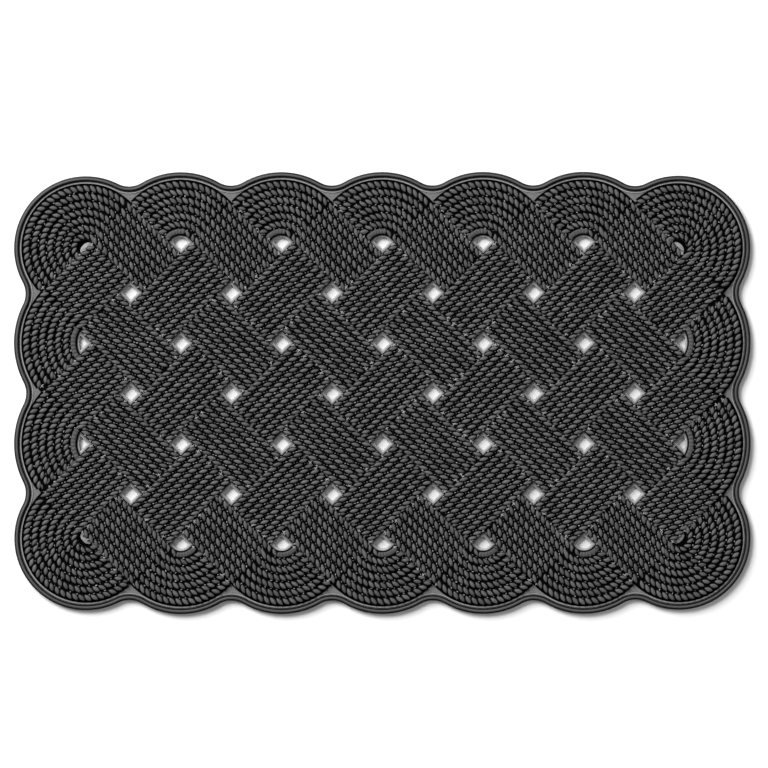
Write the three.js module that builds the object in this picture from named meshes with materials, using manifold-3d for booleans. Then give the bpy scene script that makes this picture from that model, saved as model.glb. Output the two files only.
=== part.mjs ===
// Rubber door mat moulded as a flat rope knot.
//
// Seven ropes lie side by side and make one band. The band runs back and forth at 45 degrees,
// passes over and under itself by turns, and turns round in a lobe wherever it meets the border.
// Under it lies a thin sheet with diamond drain holes and low grip studs, and a raised rim
// follows the scalloped edge.
//
// Millimetres, +Z up. The origin is on the floor under the middle of the mat.
// +X runs along the long side, +Y towards the back edge.

import * as THREE from "three";
import { mergeVertices } from "three/addons/utils/BufferGeometryUtils.js";
import Module from "manifold-3d";

const wasm = await Module();
wasm.setup();

// Overall size
const LENGTH = 762;
const WIDTH = 457.2;

// The knot: the band crosses itself on a square grid of half-pitch steps
const PITCH = 104.2;
const HALF = PITCH / 2;
const LAST_COLUMN = 6;
const LAST_ROW = 3;
const CROSSING_STEP = PITCH / Math.SQRT2;

// The band of ropes
const ROPES = 7;
const ROPE_PITCH = 8.04;
const BAND_HALF = (ROPES * ROPE_PITCH) / 2;
const CREST_HALF = 2.2;
const CREST_HEIGHT = 5;
const GROOVE_HEIGHT = 3;
const GAP = 0.3;

// Where the band turns at the border, radii of its centre line
const LONG_SIDE_TURN = 41.9;
const SHORT_SIDE_TURN = 51.3;
const CORNER_TURN = CROSSING_STEP / 2;
const CORNER_INSET = 6.2;
const TURN_STEP = Math.PI / 10;

// The edge: rim, and the bare margin inside it
const EDGE_FROM_BAND = 37.56;
const CORNER_LOBE = 74.4;
const VALLEY_RADIUS = 25;
const EDGE_STEP = Math.PI / 12;
const RIM_WIDTH = 5.2;
const RIM_HEIGHT = 3.6;
const RIM_ROUND = 1.9;

// The sheet under the ropes
const STUD_HEIGHT = 1.5;
const SHEET_THICKNESS = 3;
const HOLE_SIDE = 11.4;
const HOLE_TO_TURN = 1.8;
const STUD_RADIUS = 6;
const STUD_FLARE = 1;
const STUD_SIDES = 8;

const FALLING = new THREE.Vector2(1, -1).normalize();
const RISING = new THREE.Vector2(1, 1).normalize();

const ropeRubber = () => new THREE.MeshStandardMaterial({ color: 0x2a2a2b, roughness: 0.55, metalness: 0 });
const sheetRubber = () => new THREE.MeshStandardMaterial({ color: 0x3b3b3c, roughness: 0.8, metalness: 0 });
const rimRubber = () => new THREE.MeshStandardMaterial({ color: 0x2f2f30, roughness: 0.6, metalness: 0 });

// A route that is given by its stations, each a point and a direction.
class StationRoute extends THREE.Curve {
  constructor(stations) {
    super();
    this.stations = stations;
  }

  station(u) {
    return this.stations[Math.round(u * (this.stations.length - 1))];
  }

  getPointAt(u, target = new THREE.Vector3()) {
    const { point } = this.station(u);
    return target.set(point.x, point.y, 0);
  }

  getTangentAt(u, target = new THREE.Vector3()) {
    const { heading } = this.station(u);
    return target.set(heading.x, heading.y, 0);
  }
}

function solidOf(geometry) {
  const bare = geometry.clone();
  bare.deleteAttribute("normal");
  bare.deleteAttribute("uv");
  const merged = mergeVertices(bare, 1e-4);
  return new wasm.Manifold(new wasm.Mesh({
    numProp: 3,
    vertProperties: new Float32Array(merged.attributes.position.array),
    triVerts: new Uint32Array(merged.index.array),
  }));
}

function geometryOf(solid) {
  const { vertProperties, triVerts } = solid.getMesh();
  const geometry = new THREE.BufferGeometry();
  geometry.setAttribute("position", new THREE.Float32BufferAttribute(vertProperties, 3));
  geometry.setIndex(new THREE.Uint32BufferAttribute(triVerts, 1));
  geometry.computeVertexNormals();
  return geometry;
}

function largestBody(solid) {
  return solid.decompose().reduce((best, next) => (next.volume() > best.volume() ? next : best));
}

function sweep(stations, section) {
  return new THREE.ExtrudeGeometry(section, {
    steps: stations.length - 1,
    curveSegments: 1,
    extrudePath: new StationRoute(stations),
  });
}

// Sections are drawn with height along -X and the left of the route along +Y.
function sectionFrom(points) {
  return new THREE.Shape(points.map(([across, height]) => new THREE.Vector2(-height, across)));
}

function bandSection() {
  const points = [[-BAND_HALF, 0], [-BAND_HALF, GROOVE_HEIGHT]];
  for (let rope = 0; rope < ROPES; rope += 1) {
    const middle = (rope + 0.5) * ROPE_PITCH - BAND_HALF;
    points.push([middle - CREST_HALF, CREST_HEIGHT]);
    points.push([middle + CREST_HALF, CREST_HEIGHT]);
    points.push([middle + ROPE_PITCH / 2, GROOVE_HEIGHT]);
  }
  points.push([BAND_HALF, 0]);
  return sectionFrom(points);
}

function clearanceSection() {
  const half = BAND_HALF + GAP;
  const below = -1;
  const above = CREST_HEIGHT + 1;
  return sectionFrom([[-half, below], [-half, above], [half, above], [half, below]]);
}

// Crossings lie on the grid of half pitches where column and row are both odd or both even.
// The falling band is on top where they are odd, and the rising band where they are even.
function isCrossing(column, row) {
  const inside = Math.abs(column) <= LAST_COLUMN && Math.abs(row) <= LAST_ROW;
  return inside && (column - row) % 2 === 0;
}

function gridPoint(column, row) {
  return new THREE.Vector2(column * HALF, row * HALF);
}

function along(point, direction, distance) {
  return point.clone().addScaledVector(direction, distance);
}

function arcStations(centre, radius, from, to, step) {
  const count = Math.max(1, Math.round(Math.abs(to - from) / step));
  const stations = [];
  for (let k = 0; k <= count; k += 1) {
    const angle = from + ((to - from) * k) / count;
    const outward = new THREE.Vector2(Math.cos(angle), Math.sin(angle));
    stations.push({
      point: along(centre, outward, radius),
      heading: new THREE.Vector2(-outward.y, outward.x),
    });
  }
  return stations;
}

// A pass shows as far as the sides of its neighbours, and is drawn a little longer under them
// before it is cut off there.
const UNDER = 10;
const SHOWN_REACH = CROSSING_STEP - BAND_HALF - GAP;
const STRAIGHT_REACH = SHOWN_REACH + UNDER;
const LOOP_REACH = BAND_HALF - UNDER;

function straightRoute(centre, direction, reach) {
  return [
    { point: along(centre, direction, -reach), heading: direction },
    { point: along(centre, direction, reach), heading: direction },
  ];
}

// A lobe is drawn at the origin with the border above it, then turned to its own side.
// The band comes in over the crossing on its right and leaves under the one on its left,
// or under the one below it at a corner.
function lobeShape(isCorner, turnRadius) {
  if (isCorner) {
    return {
      centre: new THREE.Vector2(CORNER_INSET, -CORNER_INSET),
      radius: CORNER_TURN,
      from: Math.PI / 4,
      to: (5 * Math.PI) / 4,
      exit: new THREE.Vector2(0, -HALF),
      exitHeading: FALLING,
    };
  }
  return {
    centre: new THREE.Vector2(0, HALF - turnRadius * Math.SQRT2),
    radius: turnRadius,
    from: Math.PI / 4,
    to: (3 * Math.PI) / 4,
    exit: new THREE.Vector2(-HALF, 0),
    exitHeading: RISING.clone().negate(),
  };
}

function lobeRoute({ centre, radius, from, to, exit, exitHeading }) {
  return [
    lobeEntry(STRAIGHT_REACH),
    ...arcStations(centre, radius, from, to, TURN_STEP),
    { point: along(exit, exitHeading, -LOOP_REACH), heading: exitHeading },
  ];
}

function lobeEntry(reach) {
  const heading = FALLING.clone().negate();
  return { point: along(new THREE.Vector2(HALF, 0), heading, -reach), heading };
}

// The stretch of a lobe that lies over its crossing: its entry and the first half of its turn
function lobeCoverRoute({ centre, radius, from, to }) {
  const turn = arcStations(centre, radius, from, to, TURN_STEP);
  return [lobeEntry(SHOWN_REACH), ...turn.slice(0, Math.floor(turn.length / 2) + 1)];
}

function turned(vector, quarter) {
  const exact = [[1, 0], [0, 1], [-1, 0], [0, -1]][quarter];
  return new THREE.Vector2(
    vector.x * exact[0] - vector.y * exact[1],
    vector.x * exact[1] + vector.y * exact[0],
  );
}

// Which side of the mat a crossing's band runs out to, if any: the lobe's grid place,
// the quarter turn that takes the drawn lobe there, and its name.
function lobeAt(column, row) {
  const odd = column % 2 !== 0;
  if (odd && row === LAST_ROW) {
    return { column: column - 1, row, quarter: 0, side: "back" };
  }
  if (!odd && column === -LAST_COLUMN) {
    return { column, row: row - 1, quarter: 1, side: "left" };
  }
  if (odd && row === -LAST_ROW) {
    return { column: column + 1, row, quarter: 2, side: "front" };
  }
  if (!odd && column === LAST_COLUMN) {
    return { column, row: row + 1, quarter: 3, side: "right" };
  }
  return null;
}

const CORNER_NAMES = ["corner_back_left", "corner_front_left", "corner_front_right", "corner_back_right"];

function describeLobe(lobe) {
  const isCorner = Math.abs(lobe.column) === LAST_COLUMN && Math.abs(lobe.row) === LAST_ROW;
  const turnRadius = lobe.quarter % 2 === 0 ? LONG_SIDE_TURN : SHORT_SIDE_TURN;
  const place = lobe.quarter % 2 === 0
    ? (lobe.column + LAST_COLUMN) / 2
    : (LAST_ROW - lobe.row) / 2;
  const shape = lobeShape(isCorner, turnRadius);
  const at = gridPoint(lobe.column, lobe.row);
  const exit = turned(shape.exit, lobe.quarter).add(at).divideScalar(HALF);
  return {
    ...lobe,
    isCorner,
    shape,
    at,
    turnCentre: turned(shape.centre, lobe.quarter).add(at),
    exitCrossing: [Math.round(exit.x), Math.round(exit.y)],
    name: isCorner ? CORNER_NAMES[lobe.quarter] : `loop_${lobe.side}_${place}`,
  };
}

function placed(stations, { quarter, at }) {
  return stations.map(({ point, heading }) => ({
    point: turned(point, quarter).add(at),
    heading: turned(heading, quarter),
  }));
}

function describePass(column, row) {
  const odd = column % 2 !== 0;
  const direction = odd ? FALLING : RISING;
  const ends = [[column - 1, row + (odd ? 1 : -1)], [column + 1, row + (odd ? -1 : 1)]];
  const found = lobeAt(column, row);
  const lobe = found && describeLobe(found);
  const slope = odd ? "fall" : "rise";
  const place = `${(LAST_ROW - row) + 1}_${column + LAST_COLUMN + 1}`;
  const centre = gridPoint(column, row);
  return {
    key: `${column},${row}`,
    name: lobe ? lobe.name : `cross_${slope}_${place}`,
    lobe,
    route: lobe
      ? placed(lobeRoute(lobe.shape), lobe)
      : straightRoute(centre, direction, STRAIGHT_REACH),
    coverRoute: lobe
      ? placed(lobeCoverRoute(lobe.shape), lobe)
      : straightRoute(centre, direction, SHOWN_REACH),
    covers: [...ends, ...(lobe ? [lobe.exitCrossing] : [])]
      .filter(([c, r]) => isCrossing(c, r))
      .map(([c, r]) => `${c},${r}`),
  };
}

function allPasses() {
  const passes = [];
  for (let row = LAST_ROW; row >= -LAST_ROW; row -= 1) {
    for (let column = -LAST_COLUMN; column <= LAST_COLUMN; column += 1) {
      if (isCrossing(column, row)) {
        passes.push(describePass(column, row));
      }
    }
  }
  return passes;
}

// Each pass stops at the sides of the passes that lie over its two ends.
function passGeometry(pass, byKey) {
  const raw = solidOf(sweep(pass.route, bandSection()));
  const cut = pass.covers.reduce(
    (solid, key) => solid.subtract(solidOf(sweep(byKey.get(key).coverRoute, clearanceSection()))),
    raw,
  );
  return geometryOf(largestBody(cut));
}

// The edge is a ring of lobe circles joined by hollow valley arcs. In order round the mat,
// anticlockwise from the front right corner.
function edgeCircles(passes) {
  const circles = passes.filter((pass) => pass.lobe).map(({ lobe }) => {
    const outward = turned(new THREE.Vector2(0, 1), lobe.quarter);
    if (lobe.isCorner) {
      const centre = new THREE.Vector2(
        Math.sign(lobe.at.x) * (Math.abs(lobe.at.x) - CORNER_INSET),
        Math.sign(lobe.at.y) * (Math.abs(lobe.at.y) - CORNER_INSET),
      );
      return { centre, radius: CORNER_LOBE };
    }
    const radius = lobe.shape.radius + EDGE_FROM_BAND;
    const border = lobe.quarter % 2 === 0 ? WIDTH / 2 : LENGTH / 2;
    const middle = lobe.quarter % 2 === 0
      ? new THREE.Vector2(lobe.at.x, 0)
      : new THREE.Vector2(0, lobe.at.y);
    return { centre: along(middle, outward, border - radius), radius };
  });
  const angleOf = ({ centre }) => Math.atan2(centre.y, centre.x);
  return circles.sort((a, b) => angleOf(a) - angleOf(b));
}

function valleyBetween(a, b) {
  const ra = a.radius + VALLEY_RADIUS;
  const rb = b.radius + VALLEY_RADIUS;
  const line = b.centre.clone().sub(a.centre);
  const span = line.length();
  line.normalize();
  const foot = (span * span + ra * ra - rb * rb) / (2 * span);
  const out = new THREE.Vector2(line.y, -line.x);
  return along(along(a.centre, line, foot), out, Math.sqrt(ra * ra - foot * foot));
}

function bearing(from, to) {
  return Math.atan2(to.y - from.y, to.x - from.x);
}

// Points of an arc at its two ends and at every whole step between them
function arcPoints(centre, radius, from, to) {
  const sweepAngle = to - from;
  const sign = Math.sign(sweepAngle);
  const angles = [from];
  for (let k = Math.ceil(Math.min(from, to) / EDGE_STEP); k * EDGE_STEP < Math.max(from, to); k += 1) {
    angles.push(k * EDGE_STEP);
  }
  angles.sort((a, b) => sign * (a - b));
  angles.push(to);
  const kept = angles.filter((angle, n) => {
    const isEnd = n === 0 || n === angles.length - 1;
    const clear = Math.min(Math.abs(angle - from), Math.abs(to - angle)) > 0.3 * EDGE_STEP;
    return isEnd || clear;
  });
  return kept.map((angle) => new THREE.Vector2(
    centre.x + radius * Math.cos(angle),
    centre.y + radius * Math.sin(angle),
  ));
}

// The edge line, moved inwards by inset
function edgePoints(circles, inset) {
  const valleys = circles.map((circle, n) => valleyBetween(circle, circles[(n + 1) % circles.length]));
  const points = [];
  circles.forEach(({ centre, radius }, n) => {
    const before = valleys[(n + circles.length - 1) % circles.length];
    const after = valleys[n];
    const next = circles[(n + 1) % circles.length].centre;
    const start = bearing(centre, before);
    let end = bearing(centre, after);
    if (end < start) {
      end += 2 * Math.PI;
    }
    points.push(...arcPoints(centre, radius - inset, start, end).slice(0, -1));
    const down = end - Math.PI;
    let up = bearing(after, next);
    while (up > down) {
      up -= 2 * Math.PI;
    }
    while (up < down - Math.PI) {
      up += 2 * Math.PI;
    }
    points.push(...arcPoints(after, VALLEY_RADIUS + inset, down + 2 * Math.PI, up + 2 * Math.PI).slice(0, -1));
  });
  return points;
}

function holeCutter(column, row, lobe) {
  const half = HOLE_SIDE / Math.SQRT2;
  const outline = [[half, 0], [0, half], [-half, 0], [0, -half]];
  const depth = SHEET_THICKNESS + 2;
  const prism = new THREE.ExtrudeGeometry(
    new THREE.Shape(outline.map(([x, y]) => new THREE.Vector2(x, y))),
    { depth, bevelEnabled: false },
  );
  const at = gridPoint(column, row);
  prism.translate(at.x, at.y, -1);
  const cutter = solidOf(prism);
  if (!lobe) {
    return cutter;
  }
  const reach = lobe.shape.radius - BAND_HALF - HOLE_TO_TURN;
  const disc = new THREE.CylinderGeometry(reach, reach, depth + 2, 24);
  disc.rotateX(Math.PI / 2);
  disc.translate(lobe.turnCentre.x, lobe.turnCentre.y, depth / 2 - 1);
  return cutter.intersect(solidOf(disc));
}

function holeCutters(passes) {
  const lobes = new Map(passes
    .filter((pass) => pass.lobe)
    .map(({ lobe }) => [`${lobe.column},${lobe.row}`, lobe]));
  const cutters = [];
  for (let row = -LAST_ROW; row <= LAST_ROW; row += 1) {
    for (let column = -LAST_COLUMN; column <= LAST_COLUMN; column += 1) {
      const lobe = lobes.get(`${column},${row}`);
      if ((column - row) % 2 !== 0 && !(lobe && lobe.isCorner)) {
        cutters.push(holeCutter(column, row, lobe));
      }
    }
  }
  return cutters;
}

// A stud under every crossing, and one under the outside of every lobe
function studCentres(passes) {
  const centres = [];
  passes.forEach((pass) => {
    const [column, row] = pass.key.split(",").map(Number);
    centres.push(gridPoint(column, row));
    if (pass.lobe) {
      const middle = (pass.lobe.shape.from + pass.lobe.shape.to) / 2;
      const outward = turned(new THREE.Vector2(Math.cos(middle), Math.sin(middle)), pass.lobe.quarter);
      centres.push(along(pass.lobe.turnCentre, outward, pass.lobe.shape.radius));
    }
  });
  return centres;
}

function studSolid({ x, y }) {
  const bury = 0.5;
  const stud = new THREE.CylinderGeometry(
    STUD_RADIUS + STUD_FLARE + bury,
    STUD_RADIUS,
    STUD_HEIGHT + bury,
    STUD_SIDES,
  );
  stud.rotateX(Math.PI / 2);
  stud.translate(x, y, (bury - STUD_HEIGHT) / 2);
  return solidOf(stud);
}

function sheetGeometry(passes, circles) {
  const plate = solidOf(new THREE.ExtrudeGeometry(
    new THREE.Shape(edgePoints(circles, 0)),
    { depth: SHEET_THICKNESS, bevelEnabled: false },
  ));
  const studded = studCentres(passes).reduce((solid, centre) => solid.add(studSolid(centre)), plate);
  return geometryOf(holeCutters(passes).reduce((solid, cutter) => solid.subtract(cutter), studded));
}

// The rim is a bead with rounded shoulders that stands on the sheet.
function rimGeometry(circles) {
  const shape = new THREE.Shape(edgePoints(circles, 0));
  shape.holes.push(new THREE.Path(edgePoints(circles, RIM_WIDTH).reverse()));
  const bead = new THREE.ExtrudeGeometry(shape, {
    depth: 2 * RIM_HEIGHT - 2 * RIM_ROUND,
    bevelEnabled: true,
    bevelThickness: RIM_ROUND,
    bevelSize: RIM_ROUND,
    bevelOffset: -RIM_ROUND,
    bevelSegments: 2,
  });
  bead.translate(0, 0, RIM_ROUND - RIM_HEIGHT);
  const keep = new THREE.BoxGeometry(LENGTH + 20, WIDTH + 20, 2 * RIM_HEIGHT);
  keep.translate(0, 0, RIM_HEIGHT);
  return geometryOf(solidOf(bead).intersect(solidOf(keep)));
}

function named(name, geometry, material) {
  const mesh = new THREE.Mesh(geometry, material);
  mesh.name = name;
  return mesh;
}

function buildMat() {
  const passes = allPasses();
  const byKey = new Map(passes.map((pass) => [pass.key, pass]));
  const circles = edgeCircles(passes);

  const base = new THREE.Group();
  base.position.z = STUD_HEIGHT;
  base.add(named("base_sheet", sheetGeometry(passes, circles), sheetRubber()));

  const relief = new THREE.Group();
  relief.position.z = SHEET_THICKNESS;
  relief.add(named("border_rim", rimGeometry(circles), rimRubber()));
  passes.forEach((pass) => {
    relief.add(named(pass.name, passGeometry(pass, byKey), ropeRubber()));
  });
  base.add(relief);

  const mat = new THREE.Group();
  mat.add(base);
  return mat;
}

export default buildMat();
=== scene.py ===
"""A rubber door mat moulded as a flat rope knot, dressed and lit in a plain studio.

Seven ropes lie side by side in one band. The band runs back and forth at 45 degrees, passes over and
under itself by turns, and turns round in a lobe wherever it meets the border. Every rope is covered with
raised strands like grains of rice. A thin sheet with diamond drain holes lies under the ropes, and a
raised rim follows the scalloped edge. Lengths are in metres, +Z is up, and the origin is on the floor
under the middle of the mat.
"""

import logging
import math
from dataclasses import dataclass, field
from enum import Enum

import bpy
import numpy as np
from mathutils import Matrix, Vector


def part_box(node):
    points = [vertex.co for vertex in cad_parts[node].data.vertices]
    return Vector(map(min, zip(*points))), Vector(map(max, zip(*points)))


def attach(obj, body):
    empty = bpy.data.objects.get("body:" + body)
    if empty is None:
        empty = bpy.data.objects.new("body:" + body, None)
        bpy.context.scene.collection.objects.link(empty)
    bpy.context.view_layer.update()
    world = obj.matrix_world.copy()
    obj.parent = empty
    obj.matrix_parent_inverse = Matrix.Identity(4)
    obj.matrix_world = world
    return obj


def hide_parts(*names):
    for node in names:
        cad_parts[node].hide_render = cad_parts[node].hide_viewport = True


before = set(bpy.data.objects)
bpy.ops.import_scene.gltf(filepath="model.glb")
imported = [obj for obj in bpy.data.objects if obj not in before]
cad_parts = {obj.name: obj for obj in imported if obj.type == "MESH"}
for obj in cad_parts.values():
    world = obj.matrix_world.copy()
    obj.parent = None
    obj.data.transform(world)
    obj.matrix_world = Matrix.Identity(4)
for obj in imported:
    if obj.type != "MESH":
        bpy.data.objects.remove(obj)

LOG = logging.getLogger("door_mat")
MM = 0.001
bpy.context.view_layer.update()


class Turn(Enum):
    """How a pass of the band goes on past its crossing."""

    NONE = "straight"
    LONG_SIDE = "lobe on a long side"
    SHORT_SIDE = "lobe on a short side"
    CORNER = "corner lobe"


class Slope(Enum):
    """Which way a pass runs, seen from above."""

    FALLING = -45.0
    RISING = 45.0


@dataclass(frozen=True)
class Levels:
    """Heights of the moulded features above the floor."""

    stud: float = 1.5 * MM
    sheet: float = field(default_factory=lambda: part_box("base_sheet")[1].z)
    rim: float = field(default_factory=lambda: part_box("border_rim")[1].z)
    crest: float = field(default_factory=lambda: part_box("cross_rise_4_7")[1].z)


@dataclass(frozen=True)
class Band:
    """The flat band of ropes laid side by side."""

    ropes: int = 7
    rope_pitch: float = 8.04 * MM
    gap: float = 0.3 * MM

    @property
    def half(self) -> float:
        """Half of the band's width."""
        return self.ropes * self.rope_pitch / 2

    def offset(self, rope: int) -> float:
        """Where a rope's middle line lies, to the left of the band's, counted from the right-hand rope."""
        return (rope - (self.ropes - 1) / 2) * self.rope_pitch


@dataclass(frozen=True)
class Route:
    """The middle line of a stretch of band: a run in, a turn to the left, and a run out."""

    start: tuple[float, float]
    heading: float
    run_in: float
    radius: float = 0.0
    sweep: float = 0.0
    run_out: float = 0.0

    @property
    def turn_length(self) -> float:
        """Length of the turn along the middle line."""
        return self.radius * self.sweep

    @property
    def length(self) -> float:
        """Length of the whole middle line."""
        return self.run_in + self.turn_length + self.run_out

    def turned(self, along: np.ndarray) -> np.ndarray:
        """The angle that the band has turned through at each distance along it."""
        if not self.radius:
            return np.zeros_like(along)
        return np.clip((along - self.run_in) / self.radius, 0.0, self.sweep)

    def share(self, along: np.ndarray) -> np.ndarray:
        """The share of the turn that lies behind each distance, from 0 to 1."""
        return self.turned(along) / self.sweep if self.sweep else np.zeros_like(along)

    def place(self, along: np.ndarray, left: np.ndarray) -> np.ndarray:
        """Points of the plan.

        Args:
            along: Distances along the middle line.
            left: Distances to the left of it.

        Returns:
            One row of x and y for each pair of distances.
        """
        first = np.array([math.cos(self.heading), math.sin(self.heading)])
        aside = np.array([-first[1], first[0]])
        centre = np.array(self.start) + first * self.run_in + aside * self.radius
        angle = self.heading + self.turned(along)
        ahead = np.stack([np.cos(angle), np.sin(angle)], axis=-1)
        normal = np.stack([-np.sin(angle), np.cos(angle)], axis=-1)
        before = np.minimum(along - self.run_in, 0.0)
        after = np.maximum(along - self.run_in - self.turn_length, 0.0)
        run = (before + after)[..., None]
        return centre + normal * (left - self.radius)[..., None] + ahead * run

    def stretch(self, along: float, left: float) -> float:
        """Middle-line distance for each unit of distance along a rope that lies to the left of it."""
        inside = self.run_in < along < self.run_in + self.turn_length
        return self.radius / (self.radius - left) if inside else 1.0


@dataclass(frozen=True)
class Lobe:
    """The place where the band turns round at the border."""

    turn: Turn
    anchor: tuple[float, float]
    quarter: int
    centre: tuple[float, float]
    radius: float
    start_angle: float
    sweep: float


@dataclass(frozen=True)
class Pass:
    """One stretch of band that lies on top of a crossing."""

    name: str
    slope: Slope
    turn: Turn
    route: Route
    lobe: Lobe | None = None


def quarter_turned(point: tuple[float, float], quarter: int) -> tuple[float, float]:
    """Turns a point of the plan anticlockwise about the origin.

    Args:
        point: The point.
        quarter: How many quarter turns.

    Returns:
        The turned point.
    """
    x, y = point
    for _ in range(quarter % 4):
        x, y = -y, x
    return x, y


@dataclass(frozen=True)
class Knot:
    """The plan of the knot: where the band crosses itself and where it turns round."""

    band: Band
    last_column: int = 6
    last_row: int = 3
    long_turn: float = 41.9 * MM
    short_turn: float = 51.3 * MM
    corner_inset: float = 6.2 * MM

    @property
    def half(self) -> float:
        """Half of the distance between two crossings in a row, taken from the solid parts."""
        left, right = (self.middle(name) for name in ("cross_rise_4_5", "cross_rise_4_7"))
        return (right[0] - left[0]) / 2

    @property
    def step(self) -> float:
        """Distance along the band from one crossing to the next."""
        return self.half * math.sqrt(2)

    @property
    def reach(self) -> float:
        """How far a pass shows to each side of its crossing."""
        return self.step - self.band.half - self.band.gap

    @staticmethod
    def middle(node: str) -> tuple[float, float]:
        """The middle of a solid part, in plan."""
        low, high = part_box(node)
        return (low.x + high.x) / 2, (low.y + high.y) / 2

    def lobe(self, turn: Turn, quarter: int, anchor: tuple[float, float]) -> Lobe:
        """Describes one lobe.

        Args:
            turn: What kind of lobe it is.
            quarter: The side that it's on, in quarter turns from the back edge.
            anchor: The grid point that it turns round.

        Returns:
            The lobe, in the mat's plan.
        """
        if turn is Turn.CORNER:
            local, radius, sweep = (self.corner_inset, -self.corner_inset), self.step / 2, math.pi
        else:
            radius = self.long_turn if turn is Turn.LONG_SIDE else self.short_turn
            local, sweep = (0.0, self.half - radius * math.sqrt(2)), math.pi / 2
        dx, dy = quarter_turned(local, quarter)
        centre = anchor[0] + dx, anchor[1] + dy
        start_angle = math.pi / 4 + quarter * math.pi / 2
        return Lobe(turn, anchor, quarter, centre, radius, start_angle, sweep)

    def lobe_route(self, lobe: Lobe) -> Route:
        """The middle line of the pass that turns round in a lobe, as far as it shows."""
        root = math.sqrt(0.5)
        start = self.half + self.reach * root, -self.reach * root
        if lobe.turn is Turn.CORNER:
            to_turn = self.step / 2 - self.corner_inset * math.sqrt(2)
        else:
            to_turn = self.step - lobe.radius
        run_out = to_turn - self.band.half - self.band.gap
        x, y = quarter_turned(start, lobe.quarter)
        heading = math.radians(135 + 90 * lobe.quarter)
        at = lobe.anchor[0] + x, lobe.anchor[1] + y
        return Route(at, heading, self.reach + to_turn, lobe.radius, lobe.sweep, run_out)

    def find_lobe(self, column: int, row: int) -> tuple[int, int, int] | None:
        """Finds the lobe that a crossing's upper band runs out to.

        Args:
            column: The crossing's column on the half-pitch grid.
            row: Its row.

        Returns:
            The lobe's column, row and quarter turn, or None inside the mat.
        """
        odd = column % 2 == 1
        if odd and row == self.last_row:
            return column - 1, row, 0
        if not odd and column == -self.last_column:
            return column, row - 1, 1
        if odd and row == -self.last_row:
            return column + 1, row, 2
        if not odd and column == self.last_column:
            return column, row + 1, 3
        return None

    def describe(self, column: int, row: int) -> Pass:
        """Describes the pass on top of a crossing.

        Args:
            column: The crossing's column on the half-pitch grid.
            row: Its row.

        Returns:
            The pass, named as its solid part.
        """
        odd = column % 2 == 1
        slope = Slope.FALLING if odd else Slope.RISING
        found = self.find_lobe(column, row)
        if found is None:
            word = "fall" if odd else "rise"
            name = f"cross_{word}_{self.last_row - row + 1}_{column + self.last_column + 1}"
            x, y = column * self.half, row * self.half
            angle = math.radians(slope.value)
            start = x - self.reach * math.cos(angle), y - self.reach * math.sin(angle)
            return Pass(name, slope, Turn.NONE, Route(start, angle, 2 * self.reach))
        to_column, to_row, quarter = found
        anchor = to_column * self.half, to_row * self.half
        if abs(to_column) == self.last_column and abs(to_row) == self.last_row:
            turn = Turn.CORNER
            name = ("corner_back_left", "corner_front_left",
                    "corner_front_right", "corner_back_right")[quarter]
        elif quarter % 2 == 0:
            turn = Turn.LONG_SIDE
            name = f"loop_{'back' if quarter == 0 else 'front'}_{(to_column + self.last_column) // 2}"
        else:
            turn = Turn.SHORT_SIDE
            name = f"loop_{'left' if quarter == 1 else 'right'}_{(self.last_row - to_row) // 2}"
        lobe = self.lobe(turn, quarter, anchor)
        return Pass(name, slope, turn, self.lobe_route(lobe), lobe)

    def passes(self) -> list[Pass]:
        """Every pass of the band, row by row from the back."""
        found = []
        for row in range(self.last_row, -self.last_row - 1, -1):
            for column in range(-self.last_column, self.last_column + 1):
                if (column - row) % 2 == 0:
                    found.append(self.describe(column, row))
        return found


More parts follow.
